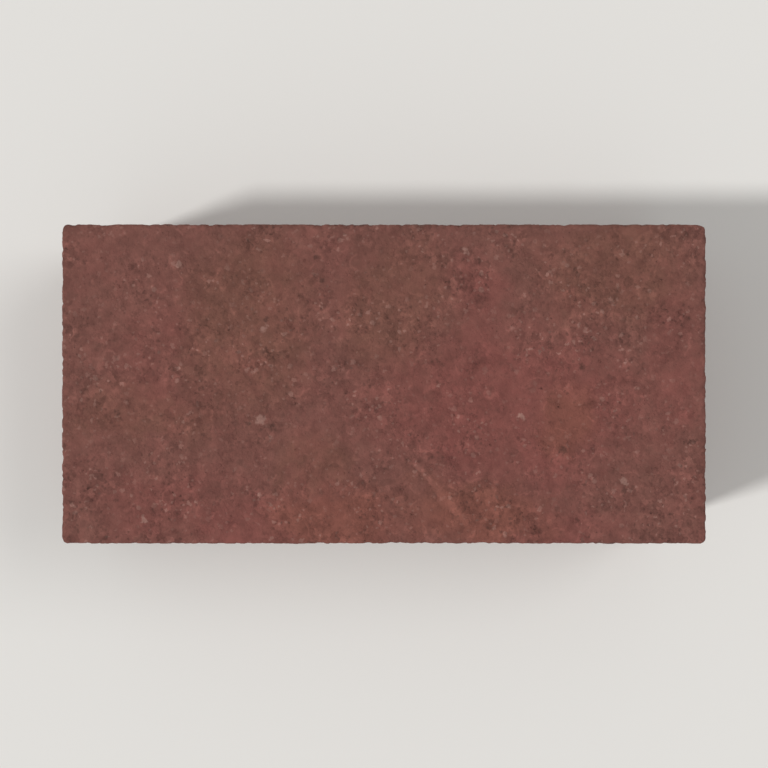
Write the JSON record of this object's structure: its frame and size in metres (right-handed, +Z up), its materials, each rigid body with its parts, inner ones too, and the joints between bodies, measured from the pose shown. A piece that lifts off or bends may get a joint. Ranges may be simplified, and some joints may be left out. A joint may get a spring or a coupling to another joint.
{
  "type": "concrete paving stone",
  "caption": "Rectangular concrete paving stone, twice as long as wide, with square edges and spacer ribs on its sides that keep an even narrow joint.",
  "frame": {"origin": "middle of the bed face, the underside that lies on the laying course", "axes": "+X along the stone's length, +Y across its width, +Z up through the wearing face"},
  "size_m": [0.2014, 0.1014, 0.06],
  "materials": {
    "concrete": "matte"
  },
  "bodies": {
    "root": {"paving_stone": "concrete"}
  },
  "joints": []
}
